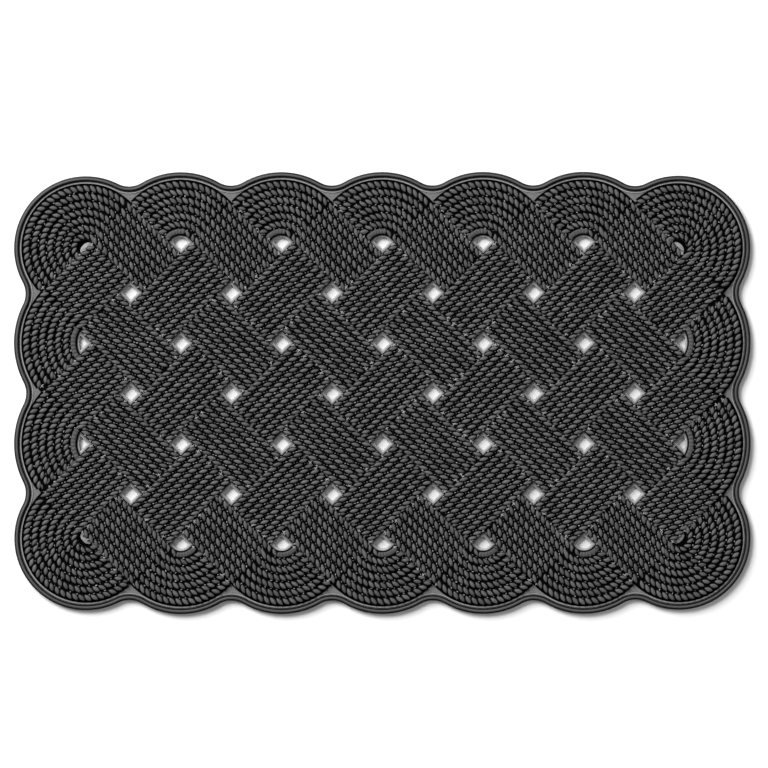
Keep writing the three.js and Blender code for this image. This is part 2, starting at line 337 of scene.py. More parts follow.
@dataclass(frozen=True)
class Edge:
    """The scalloped outline: a ring of lobe circles joined by hollow valley arcs."""

    knot: Knot
    length: float
    width: float
    from_band: float = 37.56 * MM
    corner_radius: float = 74.4 * MM
    valley_radius: float = 25.0 * MM
    step: float = math.radians(3.0)

    def circles(self) -> list[tuple[float, float, float]]:
        """The lobe circles as x, y and radius, anticlockwise round the mat."""
        found = []
        for lobe in (p.lobe for p in self.knot.passes() if p.lobe):
            x, y = lobe.anchor
            if lobe.turn is Turn.CORNER:
                inset = self.knot.corner_inset
                found.append((x - math.copysign(inset, x), y - math.copysign(inset, y), self.corner_radius))
                continue
            radius = lobe.radius + self.from_band
            if lobe.turn is Turn.LONG_SIDE:
                found.append((x, math.copysign(self.width / 2 - radius, y), radius))
            else:
                found.append((math.copysign(self.length / 2 - radius, x), y, radius))
        return sorted(found, key=lambda c: math.atan2(c[1], c[0]))

    def valley(self, a: tuple[float, float, float], b: tuple[float, float, float]) -> tuple[float, float]:
        """The centre of the valley arc outside two lobe circles.

        Args:
            a: One circle.
            b: The next one, anticlockwise.

        Returns:
            The centre's x and y.
        """
        ra, rb = a[2] + self.valley_radius, b[2] + self.valley_radius
        span = math.hypot(b[0] - a[0], b[1] - a[1])
        ux, uy = (b[0] - a[0]) / span, (b[1] - a[1]) / span
        foot = (span * span + ra * ra - rb * rb) / (2 * span)
        out = math.sqrt(ra * ra - foot * foot)
        return a[0] + ux * foot + uy * out, a[1] + uy * foot - ux * out

    def stations(self) -> tuple[np.ndarray, np.ndarray]:
        """Points along the outline and the inward direction at each.

        Returns:
            Two arrays with a row of x and y for each station.
        """
        circles = self.circles()
        valleys = [self.valley(c, circles[(n + 1) % len(circles)]) for n, c in enumerate(circles)]
        points, inward = [], []
        for n, (x, y, radius) in enumerate(circles):
            before, after = valleys[n - 1], valleys[n]
            start = math.atan2(before[1] - y, before[0] - x)
            end = math.atan2(after[1] - y, after[0] - x)
            end += 2 * math.pi if end < start else 0.0
            count = max(2, round((end - start) / self.step / 2) * 2)
            for angle in np.linspace(start, end, count, endpoint=False):
                direction = np.array([math.cos(angle), math.sin(angle)])
                points.append(np.array([x, y]) + direction * radius)
                inward.append(-direction)
            following = circles[(n + 1) % len(circles)]
            first = end + math.pi
            last = math.atan2(following[1] - after[1], following[0] - after[0])
            while last > first:
                last -= 2 * math.pi
            while last < first - 2 * math.pi:
                last += 2 * math.pi
            count = max(2, round((first - last) / self.step))
            for angle in np.linspace(first, last, count, endpoint=False):
                direction = np.array([math.cos(angle), math.sin(angle)])
                points.append(np.array(after) + direction * self.valley_radius)
                inward.append(direction)
        return np.array(points), np.array(inward)


Faces = list[tuple[int, ...]]


class MeshMaker:
    """Gathers vertices and faces of many closed shells into one mesh."""

    def __init__(self) -> None:
        """Starts with nothing in it."""
        self.vertices: list[np.ndarray] = []
        self.faces: list[tuple[int, ...]] = []
        self.slots: list[int] = []
        self.tones: list[np.ndarray] = []
        self.count = 0

    def add(self, vertices: np.ndarray, faces: Faces, slot: int, tone: float = 0.5) -> None:
        """Adds one shell.

        Args:
            vertices: One row of x, y and z for each vertex.
            faces: Vertex numbers of each face, from 0 in this shell.
            slot: The material slot of its faces.
            tone: The shell's shade, between 0 and 1.
        """
        self.vertices.append(vertices)
        self.faces.extend(tuple(i + self.count for i in f) for f in faces)
        self.slots.extend([slot] * len(faces))
        self.tones.append(np.full(len(vertices), tone))
        self.count += len(vertices)

    def add_copies(self, shells: np.ndarray, faces: Faces, slot: int, tones: np.ndarray) -> None:
        """Adds many shells that share their faces.

        Args:
            shells: Vertices, as copies by vertices by three.
            faces: Vertex numbers of each face of one copy.
            slot: The material slot of the faces.
            tones: One shade for each copy.
        """
        for shell, tone in zip(shells, tones, strict=True):
            self.add(shell, faces, slot, float(tone))

    def build(self, name: str, materials: list[bpy.types.Material], sharp: float = 60.0) -> bpy.types.Object:
        """Makes the object.

        Args:
            name: The object's name.
            materials: One material for each slot.
            sharp: Edges that fold by more than this many degrees stay crisp.

        Returns:
            The object, linked to the scene.
        """
        mesh = bpy.data.meshes.new(name)
        mesh.from_pydata(np.concatenate(self.vertices).tolist(), [], self.faces)
        for material in materials:
            mesh.materials.append(material)
        mesh.polygons.foreach_set("material_index", self.slots)
        tone = mesh.attributes.new("tone", "FLOAT", "POINT")
        tone.data.foreach_set("value", np.concatenate(self.tones).astype(np.float32))
        mesh.shade_smooth()
        mesh.set_sharp_from_angle(angle=math.radians(sharp))
        mesh.validate()
        mesh.update()
        obj = bpy.data.objects.new(name, mesh)
        bpy.context.scene.collection.objects.link(obj)
        return obj


def grid_faces(rows: int, columns: int, wrap_rows: bool, wrap_columns: bool) -> Faces:
    """Quads between the vertices of a grid.

    Args:
        rows: How many rows of vertices.
        columns: How many in each row.
        wrap_rows: Whether the last row joins the first.
        wrap_columns: Whether the last column joins the first.

    Returns:
        Vertex numbers of each quad.
    """
    faces = []
    for r in range(rows if wrap_rows else rows - 1):
        for c in range(columns if wrap_columns else columns - 1):
            r2, c2 = (r + 1) % rows, (c + 1) % columns
            faces.append((r * columns + c, r * columns + c2, r2 * columns + c2, r2 * columns + c))
    return faces


def ring_faces(rows: int, columns: int) -> Faces:
    """Outward quads of a ring whose rows and columns both close on themselves.

    Args:
        rows: How many rows of vertices.
        columns: How many in each row.

    Returns:
        Vertex numbers of each quad.
    """
    return [(f[0], *f[:0:-1]) for f in grid_faces(rows, columns, True, True)]


def tube_faces(rows: int, columns: int, flip: bool = False) -> Faces:
    """Sides and both ends of a closed tube, all wound alike.

    Args:
        rows: How many rings of vertices.
        columns: How many in each ring.
        flip: Whether the rings run the other way round.

    Returns:
        Vertex numbers of each face.
    """
    faces = [tuple(reversed(f)) for f in grid_faces(rows, columns, False, True)]
    faces.append(tuple(range(columns)))
    faces.append(tuple((rows - 1) * columns + c for c in reversed(range(columns))))
    return [tuple(reversed(f)) for f in faces] if flip else faces


def sweep(points: np.ndarray, inward: np.ndarray, section: list[tuple[float, float]]) -> np.ndarray:
    """Sweeps a closed section round the mat's outline.

    Args:
        points: Stations of the outline.
        inward: The inward direction at each.
        section: The section, as distances in from the outline and heights above the floor.

    Returns:
        Vertices, station by station, that ring_faces joins.
    """
    inset, height = np.array(section).T
    plan = points[:, None, :] + inward[:, None, :] * inset[None, :, None]
    z = np.broadcast_to(height[None, :, None], (len(points), len(section), 1))
    return np.concatenate([plan, z], axis=2).reshape(-1, 3)


@dataclass(frozen=True)
class Strand:
    """The raised form of one strand: a lozenge with full sides, narrow ends and a low crown."""

    sides: int = 14
    fullness: float = 1.6
    rings: tuple[tuple[float, float], ...] = ((1.0, 0.0), (0.98, 0.62), (0.84, 0.8), (0.5, 0.96))

    def template(self) -> tuple[np.ndarray, Faces]:
        """One strand of unit half-length, half-width and height.

        Returns:
            Its vertices, and its faces.
        """
        angles = np.linspace(0, 2 * math.pi, self.sides, endpoint=False)
        power = 2 / self.fullness
        x = np.sign(np.cos(angles)) * np.abs(np.cos(angles)) ** power
        y = np.sign(np.sin(angles)) * np.abs(np.sin(angles)) ** power
        layers = [np.stack([x * s, y * s, np.full_like(x, h)], axis=1) for s, h in self.rings]
        vertices = np.concatenate([*layers, [[0.0, 0.0, 1.0]]])
        faces = grid_faces(len(self.rings), self.sides, False, True)
        top = (len(self.rings) - 1) * self.sides
        peak = len(vertices) - 1
        faces += [(top + k, top + (k + 1) % self.sides, peak) for k in range(self.sides)]
        faces.append(tuple(reversed(range(self.sides))))
        return vertices, faces


@dataclass(frozen=True)
class Lay:
    """How the strands lie at a share of a turn: slant in degrees, length and width in millimetres."""

    share: float
    slant: float
    length: float
    width: float


class StrandLay:
    """The strands' slant and size along each kind of pass."""

    ALONG = 7.34 * MM
    RINGS = (6.70, 6.40, 6.25, 6.20, 5.94, 5.80, 5.50)
    PLAIN = 10.6, 4.5
    LAYS = {
        (Turn.NONE, Slope.FALLING): [Lay(0, 30, *PLAIN)],
        (Turn.NONE, Slope.RISING): [Lay(0, -30, *PLAIN)],
        (Turn.LONG_SIDE, Slope.FALLING): [
            Lay(0, -33, *PLAIN), Lay(0.25, -40, 10.0, 4.7), Lay(0.5, -46, 9.8, 4.8), Lay(1, -48, 9.6, 4.8)],
        (Turn.SHORT_SIDE, Slope.RISING): [
            Lay(0, -33, *PLAIN), Lay(0.25, -43, 9.6, 4.8), Lay(0.6, -46, 9.2, 4.9), Lay(1, -36, 9.2, 4.8)],
        (Turn.CORNER, Slope.FALLING): [
            Lay(0, -31, *PLAIN), Lay(0.25, -46, 9.6, 4.8), Lay(0.4, -47, 9.4, 4.8),
            Lay(0.6, -42, 9.2, 4.8), Lay(1, -42, 9.4, 4.8)],
        (Turn.CORNER, Slope.RISING): [
            Lay(0, -28, *PLAIN), Lay(0.25, -44, 9.6, 4.8), Lay(0.4, -47, 9.4, 4.8),
            Lay(0.6, -42, 9.2, 4.8), Lay(1, -43, 9.4, 4.8)],
    }
    BLEND = 12 * MM
    LOBE_END = 3.6 * MM
    CROSSING_STRANDS = 12

    def __init__(self, piece: Pass) -> None:
        """Chooses the lays of a pass.

        Args:
            piece: The pass.
        """
        self.piece = piece
        self.lays = self.LAYS[piece.turn, piece.slope]

    def at(self, share: np.ndarray) -> tuple[np.ndarray, np.ndarray, np.ndarray]:
        """The lay at each share of the turn.

        Args:
            share: Shares of the turn, from 0 to 1.

        Returns:
            Slants in radians, lengths and widths.
        """
        known = [lay.share for lay in self.lays]
        slant = np.interp(share, known, [math.radians(lay.slant) for lay in self.lays])
        length = np.interp(share, known, [lay.length * MM for lay in self.lays])
        width = np.interp(share, known, [lay.width * MM for lay in self.lays])
        return slant, length, width

    def pitch(self, along: float, rope: int) -> float:
        """Distance from one strand to the next along a rope."""
        route = self.piece.route
        if not route.radius:
            return self.ALONG
        ring = self.RINGS[rope] * MM
        blend = min(1.0, max(0.0, (along - route.run_in) / self.BLEND + 0.5))
        return self.ALONG + (ring - self.ALONG) * blend

    def snugness(self, rope: int, share: np.ndarray) -> np.ndarray:
        """The share of their full size that the strands of a rope keep, where a turn packs them closer."""
        turning = np.clip(share * 5, 0.0, 1.0)
        return 1 + (self.RINGS[rope] / self.RINGS[1] - 1) * turning

    def middles(self, rope: int, left: float, crossing: float) -> np.ndarray:
        """Distances along the band of the strands of one rope.

        Args:
            rope: The rope, counted from the outer one of a turn.
            left: Where it lies, to the left of the band's middle line.
            crossing: Where the crossing lies along the band.

        Returns:
            The distances.
        """
        route = self.piece.route
        first = crossing - (self.CROSSING_STRANDS - 1) / 2 * self.ALONG
        if not route.radius:
            return first + self.ALONG * np.arange(self.CROSSING_STRANDS)
        found = [first]
        end = route.length - self.LOBE_END
        while found[-1] < end:
            here = found[-1]
            found.append(here + self.pitch(here, rope) * route.stretch(here, left))
        if found[-1] - end > end - found[-2]:
            found.pop()
        places = np.array(found)
        moved = np.clip((places - crossing) / (places[-1] - crossing), 0.0, 1.0)
        return places + (end - places[-1]) * moved


class ShaderGroup:
    """Builds a shader node group with named inputs and outputs."""

    def __init__(self, name: str) -> None:
        """Makes an empty group of that name."""
        self.tree = bpy.data.node_groups.new(name, "ShaderNodeTree")
        self.start = self.tree.nodes.new("NodeGroupInput")
        self.end = self.tree.nodes.new("NodeGroupOutput")

    def socket(self, name: str, kind: str, output: bool = False, default: object = None) -> None:
        """Adds a socket.

        Args:
            name: Its name.
            kind: Float, Color or Vector.
            output: Whether the group puts it out.
            default: The value of an input that nothing is joined to.
        """
        made = self.tree.interface.new_socket(
            name=name, in_out="OUTPUT" if output else "INPUT", socket_type=f"NodeSocket{kind}")
        if default is not None:
            made.default_value = default

    def node(self, kind: str, **settings: object) -> bpy.types.Node:
        """Adds a node and sets its properties."""
        return new_node(self.tree, kind, **settings)

    def join(self, source: bpy.types.NodeSocket, target: bpy.types.NodeSocket) -> None:
        """Joins two sockets."""
        self.tree.links.new(source, target)


def new_node(tree: bpy.types.NodeTree, kind: str, **settings: object) -> bpy.types.Node:
    """Adds a node to a tree.

    Args:
        tree: The tree.
        kind: The node's type.
        **settings: Its properties.

    Returns:
        The node.
    """
    node = tree.nodes.new(kind)
    for key, value in settings.items():
        setattr(node, key, value)
    return node


def mix_colors(group: ShaderGroup, share: bpy.types.NodeSocket, low: bpy.types.NodeSocket,
               high: bpy.types.NodeSocket) -> bpy.types.NodeSocket:
    """Mixes two colours.

    Args:
        group: The group to work in.
        share: How much of the second colour.
        low: The first colour.
        high: The second colour.

    Returns:
        The mixed colour's socket.
    """
    mix = group.node("ShaderNodeMix", data_type="RGBA")
    group.join(share, mix.inputs["Factor"])
    group.join(low, mix.inputs["A"])
    group.join(high, mix.inputs["B"])
    return mix.outputs["Result"]


class Effects:
    """The shader groups that the rubber finishes share."""

    def __init__(self) -> None:
        """Builds each group once."""
        self.painted_shading = self.build_painted_shading()
        self.skin = self.build_skin()
        self.dust = self.build_dust()

    @staticmethod
    def build_painted_shading() -> bpy.types.NodeTree:
        """Painted light and shade: a colour that climbs by height from the groove colour to the top colour,
        in place of the shade that falls low between raised forms.

        Returns:
            The group. It takes two colours and two heights, and puts out a colour.
        """
        group = ShaderGroup("painted_height_shading")
        group.socket("Groove", "Color", default=(0.01, 0.01, 0.01, 1))
        group.socket("Top", "Color", default=(0.1, 0.1, 0.1, 1))
        group.socket("Low", "Float", default=0.006)
        group.socket("High", "Float", default=0.009)
        group.socket("Color", "Color", output=True)
        place = group.node("ShaderNodeTexCoord")
        split = group.node("ShaderNodeSeparateXYZ")
        group.join(place.outputs["Object"], split.inputs[0])
        climb = group.node("ShaderNodeMapRange", interpolation_type="SMOOTHSTEP")
        group.join(split.outputs["Z"], climb.inputs["Value"])
        group.join(group.start.outputs["Low"], climb.inputs["From Min"])
        group.join(group.start.outputs["High"], climb.inputs["From Max"])
        inputs = group.start.outputs
        color = mix_colors(group, climb.outputs["Result"], inputs["Groove"], inputs["Top"])
        group.join(color, group.end.inputs["Color"])
        return group.tree

    @staticmethod
    def build_skin() -> bpy.types.NodeTree:
        """The fine skin that a mould leaves on rubber, with a slow blotch.

        Returns:
            The group. It puts out a height for bump, and a blotch mask.
        """
        group = ShaderGroup("mould_skin")
        group.socket("Fine Scale", "Float", default=1400.0)
        group.socket("Blotch Scale", "Float", default=28.0)
        group.socket("Height", "Float", output=True)
        group.socket("Blotch", "Float", output=True)
        place = group.node("ShaderNodeTexCoord")
        fine = group.node("ShaderNodeTexNoise")
        fine.inputs["Detail"].default_value = 3.0
        fine.inputs["Roughness"].default_value = 0.6
        group.join(place.outputs["Object"], fine.inputs["Vector"])
        group.join(group.start.outputs["Fine Scale"], fine.inputs["Scale"])
        blotch = group.node("ShaderNodeTexNoise")
        blotch.inputs["Detail"].default_value = 4.0
        blotch.inputs["Roughness"].default_value = 0.55
        group.join(place.outputs["Object"], blotch.inputs["Vector"])
        group.join(group.start.outputs["Blotch Scale"], blotch.inputs["Scale"])
        group.join(fine.outputs["Fac"], group.end.inputs["Height"])
        group.join(blotch.outputs["Fac"], group.end.inputs["Blotch"])
        return group.tree

    @staticmethod
    def build_dust() -> bpy.types.NodeTree:
        """Pale dust that settles in specks on what faces up.

        Returns:
            The group. It takes a colour and an amount, and puts out the dusted colour.
        """
        group = ShaderGroup("settled_dust")
        group.socket("Color", "Color", default=(0.05, 0.05, 0.05, 1))
        group.socket("Dust", "Color", default=(0.4, 0.4, 0.39, 1))
        group.socket("Amount", "Float", default=0.2)
        group.socket("Speck Scale", "Float", default=900.0)
        group.socket("Dusted", "Color", output=True)
        shape = group.node("ShaderNodeNewGeometry")
        split = group.node("ShaderNodeSeparateXYZ")
        group.join(shape.outputs["Normal"], split.inputs[0])
        facing = group.node("ShaderNodeMapRange", interpolation_type="SMOOTHSTEP")
        facing.inputs["From Min"].default_value = 0.55
        facing.inputs["From Max"].default_value = 1.0
        group.join(split.outputs["Z"], facing.inputs["Value"])
        place = group.node("ShaderNodeTexCoord")
        specks = group.node("ShaderNodeTexNoise")
        specks.inputs["Detail"].default_value = 2.0
        group.join(place.outputs["Object"], specks.inputs["Vector"])
        group.join(group.start.outputs["Speck Scale"], specks.inputs["Scale"])
        sieve = group.node("ShaderNodeMapRange", interpolation_type="SMOOTHSTEP")
        sieve.inputs["From Min"].default_value = 0.35
        sieve.inputs["From Max"].default_value = 0.75
        group.join(specks.outputs["Fac"], sieve.inputs["Value"])
        both = group.node("ShaderNodeMath", operation="MULTIPLY")
        group.join(facing.outputs["Result"], both.inputs[0])
        group.join(sieve.outputs["Result"], both.inputs[1])
        mask = group.node("ShaderNodeMath", operation="MULTIPLY")
        group.join(both.outputs[0], mask.inputs[0])
        group.join(group.start.outputs["Amount"], mask.inputs[1])
        color = mix_colors(group, mask.outputs[0], group.start.outputs["Color"], group.start.outputs["Dust"])
        group.join(color, group.end.inputs["Dusted"])
        return group.tree


@dataclass(frozen=True)
class Rubber:
    """A moulded rubber finish.

    Shades are linear. The surface goes from its groove shade to its top shade between two heights above the
    floor. This is painted light and shade: a dark groove shade paints the shade that falls low between raised
    forms and on their sides, and a groove shade paler than the top paints light on the floor by a drain hole.
    """

    name: str
    groove: float
    top: float
    low: float
    high: float
    roughness: float
    dust: float
    blotch: float = 0.25
    spread: float = 0.0
    skin_depth: float = 0.00004
    skin_scale: float = 1400.0
    warmth: float = 0.01
    shine: float = 0.22
    blotch_scale: float = 28.0

    def shade(self, value: float) -> tuple[float, float, float, float]:
        """A nearly neutral colour of that shade."""
        return value * (1 - self.warmth / 2), value * (1 - self.warmth / 2), value * (1 + self.warmth), 1.0

    def material(self, effects: Effects) -> bpy.types.Material:
        """Builds the material.

        Args:
            effects: The shared shader groups.

        Returns:
            The material.
        """
        made = bpy.data.materials.new(self.name)
        made.use_nodes = True
        tree = made.node_tree
        shader = tree.nodes["Principled BSDF"]
        shader.inputs["IOR"].default_value = 1.5
        shader.inputs["Specular IOR Level"].default_value = self.shine
        # Painted light and shade: the colour changes by height from the groove shade to the top shade.
        painted_shading = new_node(tree, "ShaderNodeGroup", node_tree=effects.painted_shading)
        painted_shading.inputs["Groove"].default_value = self.shade(self.groove)
        painted_shading.inputs["Top"].default_value = self.shade(self.top)
        painted_shading.inputs["Low"].default_value = self.low
        painted_shading.inputs["High"].default_value = self.high
        skin = new_node(tree, "ShaderNodeGroup", node_tree=effects.skin)
        skin.inputs["Fine Scale"].default_value = self.skin_scale
        skin.inputs["Blotch Scale"].default_value = self.blotch_scale
        color = self.vary(tree, painted_shading.outputs["Color"], skin.outputs["Blotch"], self.blotch)
        if self.spread:
            tone = new_node(tree, "ShaderNodeAttribute", attribute_name="tone")
            color = self.vary(tree, color, tone.outputs["Fac"], self.spread)
        dust = new_node(tree, "ShaderNodeGroup", node_tree=effects.dust)
        dust.inputs["Amount"].default_value = self.dust
        tree.links.new(color, dust.inputs["Color"])
        tree.links.new(dust.outputs["Dusted"], shader.inputs["Base Color"])
        rough = new_node(tree, "ShaderNodeMapRange")
        rough.inputs["To Min"].default_value = self.roughness - 0.08
        rough.inputs["To Max"].default_value = min(1.0, self.roughness + 0.1)
        tree.links.new(skin.outputs["Blotch"], rough.inputs["Value"])
        tree.links.new(rough.outputs["Result"], shader.inputs["Roughness"])
        bump = new_node(tree, "ShaderNodeBump")
        bump.inputs["Strength"].default_value = 0.6
        bump.inputs["Distance"].default_value = self.skin_depth
        tree.links.new(skin.outputs["Height"], bump.inputs["Height"])
        tree.links.new(bump.outputs["Normal"], shader.inputs["Normal"])
        return made

    @staticmethod
    def vary(tree: bpy.types.NodeTree, color: bpy.types.NodeSocket, mask: bpy.types.NodeSocket,
             amount: float) -> bpy.types.NodeSocket:
        """Makes a colour lighter and darker by a mask.

        Args:
            tree: The material's nodes.
            color: The colour.
            mask: The mask, around one half.
            amount: The share by which the colour changes.

        Returns:
            The varied colour's socket.
        """
        gain = new_node(tree, "ShaderNodeMapRange")
        gain.inputs["To Min"].default_value = 1 - amount
        gain.inputs["To Max"].default_value = 1 + amount
        tree.links.new(mask, gain.inputs["Value"])
        scaled = new_node(tree, "ShaderNodeVectorMath", operation="SCALE")
        tree.links.new(color, scaled.inputs[0])
        tree.links.new(gain.outputs["Result"], scaled.inputs["Scale"])
        return scaled.outputs[0]


class Finishes:
    """The mat's finishes."""

    def __init__(self, levels: Levels) -> None:
        """Makes every material.

        Args:
            levels: The heights of the mat.
        """
        effects = Effects()
        top, sheet = levels.crest, levels.sheet
        # Painted shade: the strands darken from just below their crowns down to their feet, outlining each in
        # black.
        self.strand = Rubber("strand_rubber", 0.0, 0.08, top - 1.3 * MM, top - 0.25 * MM, 0.5, 0.05,
                             blotch=0.5, spread=0.25, shine=0.18, blotch_scale=650.0).material(effects)
        # Painted shade: near black with no sheen, so the rope bodies, the lobe skirts and the corner floors
        # read as deep shade.
        self.groove = Rubber("groove_painted_shade", 0.001, 0.004, sheet, top, 0.9, 0.0, shine=0.0).material(effects)
        # Painted light: the pale flecks stand in for light reaching the floor between the strands. Their tone
        # also differs at random, and they darken towards their feet as painted shade.
        self.fleck = Rubber("fleck_painted_light", 0.03, 0.17, sheet + 2.6 * MM, top - 1.3 * MM, 0.75, 0.1,
                            spread=0.85).material(effects)
        # Painted shade: the strip darkens from its top down to its foot, which also makes its ribs read
        # darker.
        self.strip = Rubber("strip_rubber", 0.0, 0.055, sheet + 2.0 * MM, top - 1.4 * MM, 0.6,
                            0.06).material(effects)
        self.sheet = Rubber("sheet_rubber", 0.125, 0.125, 0.0, sheet, 0.85, 0.25, blotch=0.6,
                            skin_depth=0.00014, skin_scale=700.0, blotch_scale=420.0).material(effects)
        # Painted light and shade: pale by the drain hole, where light reaches the floor, and darker up by the
        # ropes, where their shade falls.
        self.collar = Rubber("collar_painted_light_shade", 0.36, 0.12, sheet + 0.1 * MM, sheet + 1.5 * MM, 0.85, 0.2,
                             blotch=0.5, blotch_scale=300.0).material(effects)
        # Painted light and shade: a pale top that stands in for the highlight along the margin, over a
        # near-black foot.
        self.lip = Rubber("lip_painted_light", 0.01, 0.24, sheet + 0.25 * MM, sheet + 0.6 * MM, 0.7, 0.2,
                          blotch=0.5, blotch_scale=300.0).material(effects)
        # Painted shade: the rim darkens from just below its crown down its walls, which draws dark lines
        # along both sides.
        self.rim = Rubber("rim_rubber", 0.0, 0.064, levels.rim - 1.1 * MM, levels.rim - 0.2 * MM, 0.5,
                          0.05).material(effects)


@dataclass(frozen=True)
class RopePass:
    """One pass of the rope band, with its ropes, its strands and the pale flecks between them."""

    piece: Pass
    knot: Knot
    levels: Levels
    ridge: float = 2.9 * MM
    valley: float = 1.9 * MM
    dip: float = 0.15 * MM
    dip_length: float = 20.0 * MM
    spread: float = 1.02
    fleck_top: float = 4.0 * MM
    across: int = 6
    body_trim: float = 0.15 * MM
    body_step: float = 6.0 * MM
    turn_step: float = 5.0
    strand_foot: float = 0.4 * MM
    fleck_foot: float = 0.6 * MM
    strip_clear: float = 2.0 * MM
    strip_gap: float = 3.4 * MM
    rib_pitch: float = 7.4 * MM
    rib_depth: float = 0.22 * MM
    strand: Strand = field(default_factory=Strand)

    @property
    def band(self) -> Band:
        """The band that the pass is a stretch of."""
        return self.knot.band

    @property
    def crest(self) -> float:
        """Height of the strands' crests above the sheet."""
        return self.levels.crest - self.levels.sheet

    @property
    def has_strip(self) -> bool:
        """Whether a strip takes over from the innermost rope's strands."""
        return self.piece.turn in (Turn.LONG_SIDE, Turn.SHORT_SIDE)

    def sink(self, along: np.ndarray) -> np.ndarray:
        """How far the band has sunk towards each end, where it goes under its neighbour."""
        to_end = np.minimum(along, self.piece.route.length - along)
        near = 1 - np.clip(to_end / self.dip_length, 0.0, 1.0)
        return self.dip * near * near * (3 - 2 * near)

    def lift(self, along: np.ndarray, left: np.ndarray, height: np.ndarray) -> np.ndarray:
        """Vertices in space.

        Args:
            along: Distances along the band.
            left: Distances to the left of its middle line.
            height: Heights above the sheet.

        Returns:
            One row of x, y and z for each.
        """
        plan = self.piece.route.place(along, left)
        sunk = height - self.sink(along) * np.minimum(height / self.valley, 1.0)
        z = self.levels.sheet + np.maximum(sunk, 0.0)
        return np.concatenate([plan, z[..., None]], axis=-1)

    def add_tube(self, maker: MeshMaker, stations: np.ndarray, left: np.ndarray, height: np.ndarray,
                 slot: int, flip: bool = False) -> None:
        """Adds a closed body that follows the band.

        Args:
            maker: The mesh to add it to.
            stations: Distances along the band of its sections.
            left: Distances to the left of the middle line, of one section or of each.
            height: Heights above the sheet, likewise.
            slot: Its material slot.
            flip: Whether the section runs from left to right over the top.
        """
        rows, columns = len(stations), left.shape[-1]
        left, height = (np.broadcast_to(part, (rows, columns)).ravel() for part in (left, height))
        vertices = self.lift(np.repeat(stations, columns), left, height)
        maker.add(vertices, tube_faces(rows, columns, flip), slot)

    def add_body(self, maker: MeshMaker) -> None:
        """Adds the ropes themselves, as seven rounded ridges on one closed body."""
        half, pitch = self.band.half - self.body_trim, self.band.rope_pitch
        section = [(-half, 0.0)]
        for rope in range(self.band.ropes):
            for t in np.linspace(-1, 1, self.across + 1)[0 if rope == 0 else 1:]:
                height = self.valley + (self.ridge - self.valley) * math.sqrt(max(0.0, 1 - t * t))
                left = self.band.offset(rope) + t * pitch / 2
                section.append((max(-half, min(half, left)), height))
        section.append((half, 0.0))
        route = self.piece.route
        turn_end = route.run_in + route.turn_length
        stations = np.unique(np.concatenate([
            np.linspace(0, route.run_in, max(2, round(route.run_in / self.body_step) + 1)),
            np.linspace(route.run_in, turn_end, round(math.degrees(route.sweep) / self.turn_step) + 1),
            np.linspace(turn_end, route.length, 3),
        ]).round(7))
        left, height = np.array(section).T
        # The body takes the near-black groove finish: painted shade that fills the gaps between strands.
        self.add_tube(maker, stations, left, height, 1)

    def add_shade_skirt(self, maker: MeshMaker) -> None:
        """Adds the narrow near-black foot along the outer side of a lobe: a band of painted shade between the
        ropes and the lip.
        """
        route = self.piece.route
        stations = np.linspace(route.run_in - 18 * MM, route.length - 2 * MM, 60)
        out, height = np.array([(0.3, 0.0), (0.3, 0.3), (-1.6, 0.08), (-1.6, 0.0)]).T * MM
        self.add_tube(maker, stations, out - self.band.half, height, 1, flip=True)

    def shells(self, along: np.ndarray, left: np.ndarray, slant: np.ndarray, length: np.ndarray,
               width: np.ndarray, foot: float, top: float, template: np.ndarray) -> np.ndarray:
        """Copies of a raised form, laid on the band.

        Args:
            along: Where each copy lies along the band.
            left: Where it lies to the left of the middle line.
            slant: Its slant from the rope, in radians.
            length: Its length.
            width: Its width.
            foot: Height of its foot above the sheet.
            top: Height of its top.
            template: The form, with unit half-length, half-width and height.

        Returns:
            Vertices, as copies by vertices by three.
        """
        lengthwise = template[None, :, 0] * (length / 2)[:, None]
        crosswise = template[None, :, 1] * (width / 2)[:, None]
        cos, sin = np.cos(slant)[:, None], np.sin(slant)[:, None]
        ahead, aside = lengthwise * cos - crosswise * sin, lengthwise * sin + crosswise * cos
        stretch = np.array([self.piece.route.stretch(*at) for at in zip(along, left, strict=True)])
        farther = along[:, None] + ahead * stretch[:, None]
        height = foot + (top - foot) * np.broadcast_to(template[None, :, 2], farther.shape)
        return self.lift(farther, left[:, None] + aside, height)

    def strand_places(self, lay: StrandLay, rope: int) -> np.ndarray:
        """Distances along the band of a rope's strands, up to the strip on the innermost rope."""
        along = lay.middles(rope, self.band.offset(rope) * self.spread, self.knot.reach)
        if self.has_strip and rope == self.band.ropes - 1:
            return along[along < self.strip_start() - self.strip_clear]
        return along

    def add_strands(self, maker: MeshMaker, lay: StrandLay, chance: np.random.Generator) -> None:
        """Adds the strands of every rope, and the flecks between them.

        Args:
            maker: The mesh to add them to.
            lay: How they lie.
            chance: The seeded source of small differences.
        """
        template, faces = self.strand.template()
        for rope in range(self.band.ropes):
            left = self.band.offset(rope) * self.spread
            along = self.strand_places(lay, rope)
            share = self.piece.route.share(along)
            slant, length, width = lay.at(share)
            count = len(along)
            snug = lay.snugness(rope, share)
            slants = slant + chance.normal(0, 0.02, count)
            lengths = length * np.sqrt(snug) * chance.normal(1, 0.012, count)
            widths = width * snug * chance.normal(1, 0.015, count)
            shells = self.shells(along, np.full(count, left), slants, lengths, widths,
                                 self.valley - self.strand_foot, self.crest, template)
            maker.add_copies(shells, faces, 0, chance.uniform(0, 1, count))
            if rope < self.band.ropes - 1:
                slit = left + self.band.rope_pitch * self.spread / 2
                self.add_flecks(maker, along, slit, slant, share, chance)

